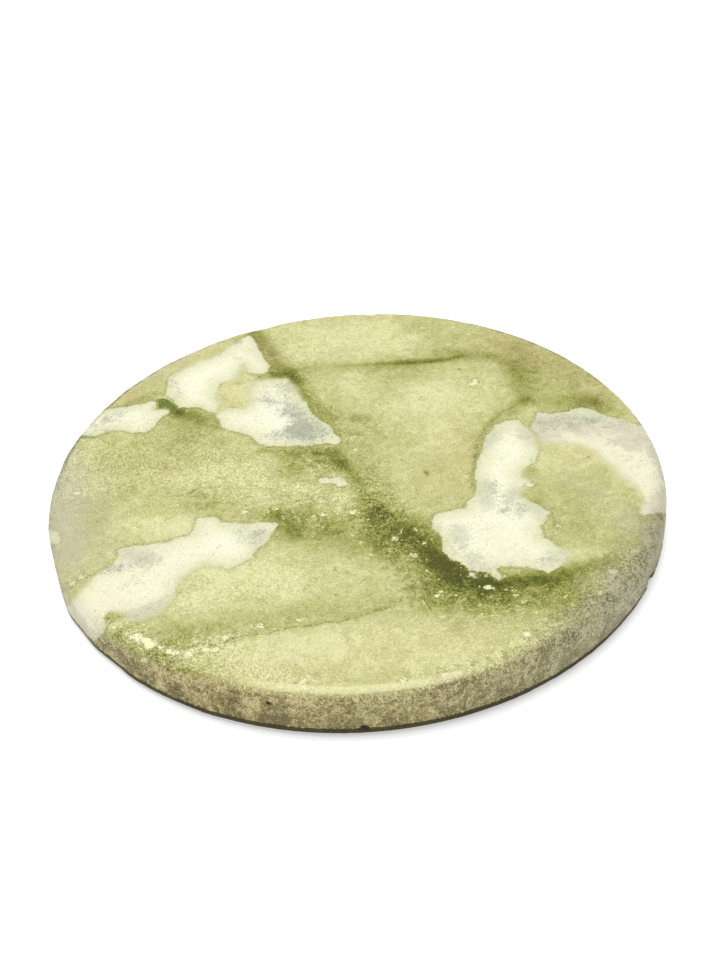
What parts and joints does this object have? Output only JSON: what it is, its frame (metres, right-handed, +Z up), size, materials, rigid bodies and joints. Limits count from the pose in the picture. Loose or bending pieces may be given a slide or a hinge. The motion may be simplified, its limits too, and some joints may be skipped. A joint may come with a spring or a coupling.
{
  "type": "jade stone",
  "caption": "Flat round slab of polished green and white jade with a rolled top shoulder and an eased lower edge, lying on its flat base.",
  "frame": {"origin": "centre of the flat base, on the surface that the stone lies on", "axes": "+Z up through the slab's thickness, +Y away from someone who looks at the stone from the front, +X to that person's right"},
  "size_m": [0.05, 0.05, 0.004],
  "materials": {
    "jade": "satin polish, pale yellow-green with white patches and dark green veins"
  },
  "bodies": {
    "root": {"jade_stone": "jade"}
  },
  "joints": []
}
